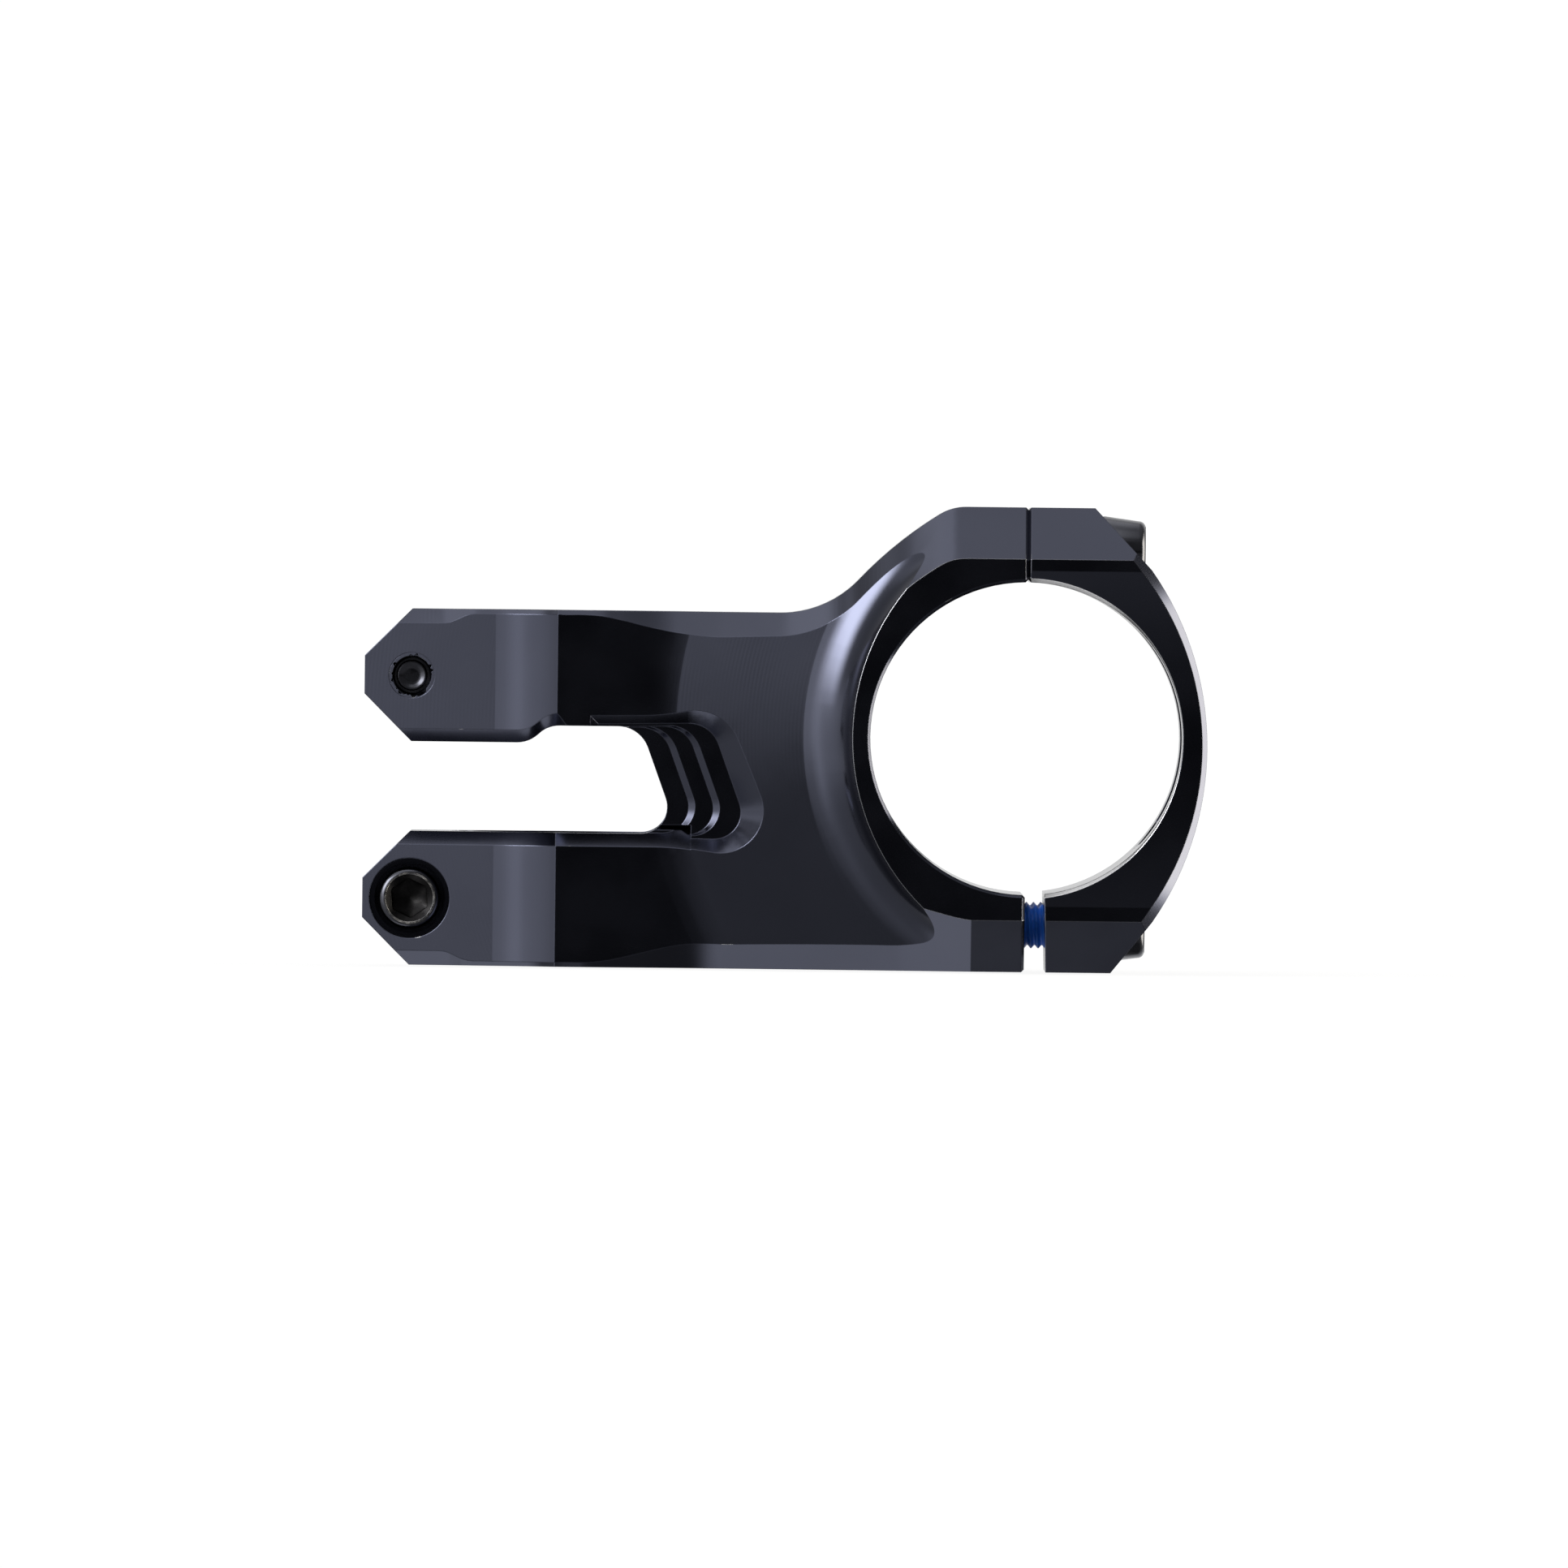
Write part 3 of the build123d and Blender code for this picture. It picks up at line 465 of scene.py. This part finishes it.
# --- bolts ----------------------------------------------------------------------------------------
def bolt_head(turn):
    """Head rings from the shank's root out over the bearing face, up, and down into the hex socket."""
    rim = 0.75 * MM
    taper = (HEAD_RADIUS - HEAD_TIP_RADIUS) / HEAD_HEIGHT
    shoulder = HEAD_RADIUS - taper * (HEAD_HEIGHT - rim)
    rings = [
        circle(CREST, 0.0),
        circle(HEAD_RADIUS - 0.25 * MM, 0.0),
        circle(HEAD_RADIUS - 0.05 * MM, 0.10 * MM),
        circle(HEAD_RADIUS - 0.03 * MM, 0.30 * MM),
        circle(shoulder, HEAD_HEIGHT - rim),
    ]
    for step in range(1, 7):
        angle = step / 6 * pi / 2
        height = HEAD_HEIGHT - rim * (1 - sin(angle))
        rings.append(circle(shoulder - rim * (1 - cos(angle)), height))
    rings.append(circle(SOCKET_MOUTH + 0.22 * MM, HEAD_HEIGHT))
    rings.append(circle(SOCKET_MOUTH + 0.12 * MM, HEAD_HEIGHT - 0.01 * MM))
    rings.append(circle(SOCKET_MOUTH, HEAD_HEIGHT - 0.10 * MM))

    def hexagon(height_at, shrink=0.0):
        ring = []
        for step in range(TURN_STEPS):
            angle = 2 * pi * step / TURN_STEPS
            sector = (angle - turn) % (pi / 3) - pi / 6
            radius = (SOCKET_FLAT - shrink) / cos(sector)
            ring.append((radius * cos(angle), radius * sin(angle), height_at(radius)))
        return ring

    rings.append(hexagon(lambda radius: HEAD_HEIGHT - 0.12 * MM - (SOCKET_MOUTH - radius) * 0.8))
    rings.append(hexagon(lambda radius: HEAD_HEIGHT - SOCKET_DEPTH + 0.1 * MM))
    rings.append(hexagon(lambda radius: HEAD_HEIGHT - SOCKET_DEPTH, 0.12 * MM))
    for share in (0.72, 0.66, 0.40, 0.34):
        rings.append(circle(SOCKET_FLAT * share, HEAD_HEIGHT - SOCKET_DEPTH - (1 - share) * 0.7 * MM))
    rings.append(circle(0.05 * MM, HEAD_HEIGHT - SOCKET_DEPTH - 0.7 * MM))
    return rings


# a bolt's rounded tip and the dish in its end: (radius, height above the tip) in millimetres
DISHED_TIP = (
    (1.60, 0.32),
    (1.72, 0.20),
    (1.62, 0.03),
    (1.45, 0.0),
    (1.30, 0.05),
    (0.95, 0.26),
    (0.50, 0.37),
    (0.05, 0.40),
)


def make_bolt(name, body, axis, turn):
    """Head and threaded shank as one closed mesh, in place of the CAD bolt."""
    node = f"{name}_bolt"
    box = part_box(node)
    length = abs(Vector(axis).dot(box[1] - box[0])) - HEAD_HEIGHT
    tip = -length

    def radius_at(depth, height, angle):
        full = ROOT + (CREST - ROOT) * depth
        return max(min(full, ROOT - 0.25 * MM + (height - tip) * 1.1), 0.5 * MM)

    mesh_data = bmesh.new()
    thread_surface(mesh_data, tip + THREAD_START, THREAD_END, radius_at)
    bmesh.ops.contextual_create(mesh_data, geom=rim_edges(mesh_data, tip + THREAD_START))
    skin(mesh_data, [circle(radius * MM, tip + rise * MM) for radius, rise in DISHED_TIP])
    bmesh.ops.contextual_create(mesh_data, geom=rim_edges(mesh_data, THREAD_END))
    collar = [circle(ROOT - 0.1 * MM, THREAD_END - 0.2 * MM), circle(CREST, THREAD_END)]
    skin(mesh_data, collar + bolt_head(turn))
    matrix = seat_matrix(box, axis)
    piece = finish_mesh(f"{name}_bolt_detailed", mesh_data, STEEL, body, matrix, 28.0)
    piece.data.materials.append(RUBBED_AND_HIGHLIGHT)
    piece.data.materials.append(SOCKET_SHADE)
    local = matrix.inverted()
    for face in piece.data.polygons:
        centre = local @ face.center
        radius = sqrt(centre.x**2 + centre.y**2)
        # the socket's mouth gets the bright steel, partly a painted highlight ring
        if centre.z > HEAD_HEIGHT - 0.13 * MM and SOCKET_MOUTH < radius < SOCKET_MOUTH + 0.20 * MM:
            face.material_index = 1
        # the faces inside the socket get the painted shade
        elif centre.z > HEAD_HEIGHT - SOCKET_DEPTH - 1.2 * MM and radius < SOCKET_MOUTH:
            face.material_index = 2
    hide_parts(node)
    return length


def make_patch(name, body, axis, length):
    """The compound over the thread, thinning to ragged ends, in place of the CAD sleeve."""
    low = PATCH_START - length
    high = low + PATCH_LENGTH
    seed = Vector((BOLTS.index(name) * 3.7, 1.3, 0.0))

    def radius_at(depth, height, angle):
        around = Vector((cos(angle), sin(angle), height / MM)) * 1.3 + seed
        ragged = 0.5 * MM * noise.noise(around)
        inside = min(height - low + ragged, high - height + ragged) / (0.7 * MM)
        film = min(max(inside, 0.0), 1.0)
        lumps = 0.02 * MM * noise.noise(around * 2.1)
        steel = ROOT + (CREST - ROOT) * depth
        coated = PATCH_ROOT + (PATCH_CREST - PATCH_ROOT) * depth + lumps * (1 - depth)
        return steel - 0.05 * MM + (coated - steel + 0.05 * MM) * film

    mesh_data = bmesh.new()
    thread_surface(mesh_data, low, high, radius_at)
    for height in (low, high):
        bmesh.ops.contextual_create(mesh_data, geom=rim_edges(mesh_data, height))
    matrix = seat_matrix(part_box(f"{name}_bolt"), axis)
    piece = finish_mesh(f"{name}_threadlock_film", mesh_data, COMPOUND, body, matrix, 60.0)
    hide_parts(f"{name}_threadlock")


for number, name in enumerate(BOLTS):
    axis = joints[f"{name}_unscrew"]["axis"]
    body = joints[f"{name}_unscrew"]["child"]
    length = make_bolt(name, body, axis, 0.35 + number * 0.47)
    make_patch(name, body, axis, length)


# --- tapped holes ---------------------------------------------------------------------------------
def tilt_mouth(mesh_data, matrix, depth, slope):
    """Shears a piece near its mouth, so that the mouth follows a side that rises towards +X."""
    along_x = matrix.to_3x3().inverted() @ Vector((1, 0, 0))
    for vert in mesh_data.verts:
        near = min(max(1 + vert.co.z / depth, 0.0), 1.0)
        vert.co.z += tan(slope) * vert.co.dot(along_x) * near


def make_tapped(name, mouth, axis, depth, crest, slope=0.0):
    """Thread inside a bore, from its mouth inwards; the outer wall hides in the CAD bore's wall."""
    outward = Vector(axis).normalized()

    def radius_at(share, height, angle):
        return BORE - 0.01 * MM - (BORE - crest) * share

    mesh_data = bmesh.new()
    thread_surface(mesh_data, -depth, 0.0, radius_at)
    matrix = Matrix.Translation(mouth) @ outward.to_track_quat("Z", "Y").to_matrix().to_4x4()
    tilt_mouth(mesh_data, matrix, depth, slope)
    return finish_mesh(name, mesh_data, TAPPED, "stem", matrix, 40.0)


def make_torn_lip(name, mouth, axis, slope, seed):
    """The last, torn turn of a thread where it comes out through the ear's side."""
    outward = Vector(axis).normalized()
    steps = 120

    def ragged(extra, height):
        ring = []
        for step in range(steps):
            angle = 2 * pi * step / steps
            coarse = noise.noise(Vector((cos(angle) * 1.7, sin(angle) * 1.7, seed)))
            fine = noise.noise(Vector((cos(angle) * 6.0, sin(angle) * 6.0, seed + 5.0)))
            torn = min(max(coarse * 1.6 + fine * 1.3, 0.0), 0.8)
            radius = 2.18 * MM + torn * 0.36 * MM + extra
            ring.append((radius * cos(angle), radius * sin(angle), height))
        return ring

    outer = BORE - 0.004 * MM
    rings = [
        circle(outer, -0.30 * MM, steps),
        circle(outer, 0.0, steps),
        ragged(0.04 * MM, 0.0),
        ragged(0.0, -0.04 * MM),
        ragged(0.06 * MM, -0.30 * MM),
        circle(outer, -0.30 * MM, steps),
    ]
    mesh_data = bmesh.new()
    skin(mesh_data, rings, False, False)
    bmesh.ops.remove_doubles(mesh_data, verts=mesh_data.verts, dist=1e-8)
    matrix = Matrix.Translation(mouth) @ outward.to_track_quat("Z", "Y").to_matrix().to_4x4()
    tilt_mouth(mesh_data, matrix, 1.5 * MM, slope)
    return finish_mesh(name, mesh_data, BURR, "stem", matrix, 30.0)


seam_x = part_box("stem_body")[1].x
for place in PLATE_BOLTS:
    low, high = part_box(f"faceplate_{place}_bolt")
    centre = (low + high) / 2
    mouth = Vector((seam_x - 0.05 * MM, centre.y, centre.z))
    make_tapped(f"body_thread_{place}", mouth, (1, 0, 0), seam_x - low.x, BORE - 0.07 * MM)

for number, place in enumerate(PINCH_BOLTS):
    low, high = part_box(f"pinch_{place}_bolt")
    centre = (low + high) / 2
    side = -joints[f"pinch_{place}_unscrew"]["axis"][1]
    ear_half = EAR_FLAT_HALF + (centre.x - EAR_FLAT_END_X) * tan(EAR_SLOPE)
    tip = max(side * low.y, side * high.y)
    mouth = Vector((centre.x, side * ear_half, centre.z))
    depth = ear_half - tip - 0.15 * MM
    make_tapped(f"ear_thread_{place}", mouth, (0, side, 0), depth, 2.14 * MM, EAR_SLOPE)
    make_torn_lip(f"ear_lip_{place}", mouth, (0, side, 0), EAR_SLOPE, 3.0 + number * 7.0)


# --- the CAD pieces that stay -----------------------------------------------------------------------
for node, material in (("stem_body", BODY), ("faceplate", PLATE)):
    piece = frame["nodes"][node]
    piece.data.materials.clear()
    piece.data.materials.append(material)


# --- floor, light and camera ------------------------------------------------------------------------
def make_surround():
    """A pale floor that turns up into a far wall all round."""
    floor_z = cad_bounds[0][2] - 0.2 * MM
    profile = [(0.0, 0.0), (0.4, 0.0), (1.5, 0.0), (5.0, 0.0)]
    for step in range(1, 9):
        angle = step / 8 * pi / 2
        profile.append((5.0 + 3.0 * sin(angle), 3.0 * (1 - cos(angle))))
    profile.append((8.0, 9.0))
    mesh_data = bmesh.new()
    rings = [circle(max(radius, 0.001), floor_z + height, 64) for radius, height in profile]
    skin(mesh_data, rings, True, False)
    mesh = bpy.data.meshes.new("surround")
    mesh_data.to_mesh(mesh)
    mesh_data.free()
    mesh.polygons.foreach_set("use_smooth", [True] * len(mesh.polygons))
    material, tree, shader = new_material("surround_paper")
    place = tree.add("ShaderNodeTexCoord").outputs["Object"]
    away = tree.add("ShaderNodeVectorMath", _0=place)
    away.operation = "LENGTH"
    tree.set(shader, "Base Color", (0.80, 0.80, 0.80, 1.0))
    tree.set(shader, "Roughness", 0.9)
    tree.set(shader, "Specular IOR Level", 0.1)
    glow = tree.add("ShaderNodeEmission", Color=(1.0, 1.0, 1.0, 1.0), Strength=1.02)
    blend = tree.add("ShaderNodeMixShader")
    tree.set(blend, "Fac", tree.ramp(away.outputs["Value"], 0.05, 0.2, 0.9, 1.0))
    tree.links.new(shader.outputs[0], blend.inputs[1])
    tree.links.new(glow.outputs[0], blend.inputs[2])
    tree.links.new(blend.outputs[0], tree.nodes["Material Output"].inputs["Surface"])
    mesh.materials.append(material)
    surround = bpy.data.objects.new("surround", mesh)
    scene.collection.objects.link(surround)
    surround.visible_glossy = False
    surround.visible_diffuse = False
    surround.visible_shadow = False


# brightness of the level directions, by degrees left of the camera's side
LEVEL_GLOW = (
    (0.0, 0.0),
    (13.0, 0.02),
    (15.0, 0.10),
    (17.0, 0.28),
    (18.0, 0.52),
    (19.5, 1.12),
    (22.0, 1.06),
    (30.0, 1.15),
    (38.0, 1.4),
    (45.0, 1.45),
    (54.0, 1.1),
    (65.0, 1.0),
    (80.0, 0.9),
    (95.0, 0.7),
    (110.0, 0.42),
    (150.0, 0.6),
    (180.0, 0.8),
)
LAMP_GLOW = 8.0  # of the soft box on the left and the strip on the right
AMBIENT_GLOW = 0.012


def make_light():
    """Soft studio light as the surroundings' glow, dark where the object faces the camera."""
    world = bpy.data.worlds.new("studio")
    scene.world = world
    tree = Tree(world)
    x, y, z = tree.split(tree.add("ShaderNodeTexCoord").outputs["Generated"])
    left_turn = tree.math("ARCTAN2", tree.math("MULTIPLY", x, -1.0), tree.math("MULTIPLY", y, -1.0))
    to_left = tree.math("MULTIPLY", left_turn, 180 / pi)
    to_right = tree.math("MULTIPLY", to_left, -1.0)

    level = tree.nodes.new("ShaderNodeValToRGB")
    level.color_ramp.interpolation = "B_SPLINE"
    stops = level.color_ramp.elements
    stops[0].position = 0.0
    stops[1].position = 1.0
    for degrees_left, glow in LEVEL_GLOW:
        if degrees_left == 0.0:
            stop = stops[0]
        elif degrees_left == 180.0:
            stop = stops[-1]
        else:
            stop = stops.new(degrees_left / 180)
        stop.color = (glow / 2, glow / 2, glow / 2, 1.0)
    # the lit part begins further left below the horizon, and a little nearer above it
    height_in_band = tree.math("MAXIMUM", tree.math("MINIMUM", z, 0.1), -0.3)
    turn_above = tree.math("MULTIPLY", height_in_band, 15.0)
    turn_below = tree.math("MULTIPLY", height_in_band, 40.0)
    shifted = tree.math("ADD", tree.math("MINIMUM", turn_above, turn_below), to_left)
    tree.set(level, "Fac", tree.math("DIVIDE", shifted, 180.0))
    left = tree.math("MULTIPLY", level.outputs["Color"], 2.0)
    lower_fall = tree.ramp(z, -0.6, -0.25, 0.6, 1.0)
    fall = tree.math("MULTIPLY", tree.ramp(z, -0.30, 0.05, 0.25, 1.08), lower_fall)
    left = tree.math("MULTIPLY", left, fall)
    high_flag = tree.math("MULTIPLY", tree.ramp(to_left, 75.0, 88.0), tree.ramp(z, 0.12, 0.28))
    left = tree.math("MULTIPLY", left, tree.math("MULTIPLY_ADD", high_flag, -0.6, 1.0))
    below_level = tree.ramp(z, -0.07, -0.02, 1.0, 0.0)
    low_flag = tree.math("MULTIPLY", tree.ramp(to_left, 30.0, 46.0, 1.0, 0.0), below_level)
    left = tree.math("MULTIPLY", left, tree.math("MULTIPLY_ADD", low_flag, -0.5, 1.0))
    box = tree.band(to_left, 26.0, 46.0, 62.0, 86.0)
    box_height = tree.band(z, 0.06, 0.38, 0.57, 0.72)
    left = tree.math("MULTIPLY_ADD", tree.math("MULTIPLY", box, box_height), LAMP_GLOW, left)
    strip = tree.band(to_right, 62.0, 74.0, 108.0, 125.0)
    strip_height = tree.band(z, -0.53, -0.45, 0.46, 0.53)
    strip = tree.math("MULTIPLY", strip, strip_height)
    right = tree.math("MULTIPLY_ADD", strip, LAMP_GLOW, tree.ramp(to_right, 118.0, 160.0, 0.0, 0.8))
    hollows = tree.math("ADD", tree.ramp(z, 0.03, 0.10, 0.0, 0.12), tree.ramp(z, -0.10, -0.03, 0.20, 0.0))
    sides = tree.math("ADD", tree.math("ADD", left, right), hollows)
    sides = tree.math("MULTIPLY", sides, tree.band(z, -0.88, -0.75, 0.60, 0.74))

    above = tree.math("ADD", tree.ramp(z, 0.56, 0.68, 0.0, 0.55), tree.ramp(z, 0.71, 0.84, 0.0, 0.85))
    above = tree.math("SUBTRACT", above, tree.ramp(z, 0.955, 0.997, 0.0, 0.50))
    above = tree.math("MULTIPLY", above, tree.ramp(x, 0.05, 0.24, 1.0, 0.3))
    from_below = tree.ramp(z, -0.88, -0.75, 1.0, 0.0)
    below = tree.math("MULTIPLY", from_below, tree.ramp(x, -0.14, 0.05, 1.12, 0.08))
    total = tree.math("ADD", tree.math("ADD", sides, above), tree.math("ADD", below, AMBIENT_GLOW))
    background = tree.nodes["Background"]
    tree.set(background, "Color", tree.mix(strip, (1.0, 1.0, 1.0, 1.0), (1.08, 1.0, 0.80, 1.0)))
    tree.set(background, "Strength", total)


def make_camera():
    """Level view from the rider's right, rolled a touch, from far away."""
    aim = Vector((22.9 * MM, 0.0, 0.70 * MM))
    distance = 5.0
    height_angle = radians(0.3)
    roll = radians(0.65)
    width_in_view = 176.4 * MM
    data = bpy.data.cameras.new("camera")
    data.sensor_width = 36.0
    data.lens = data.sensor_width * distance / width_in_view
    data.clip_start = 0.1
    data.clip_end = 30.0
    camera = bpy.data.objects.new("camera", data)
    scene.collection.objects.link(camera)
    away = Vector((0.0, -cos(height_angle), sin(height_angle)))
    camera.location = aim + away * distance
    look = (-away).to_track_quat("-Z", "Y").to_matrix().to_4x4()
    look = look @ Matrix.Rotation(roll, 4, "Z")
    camera.matrix_world = Matrix.Translation(camera.location) @ look
    scene.camera = camera


make_surround()
make_light()
make_camera()
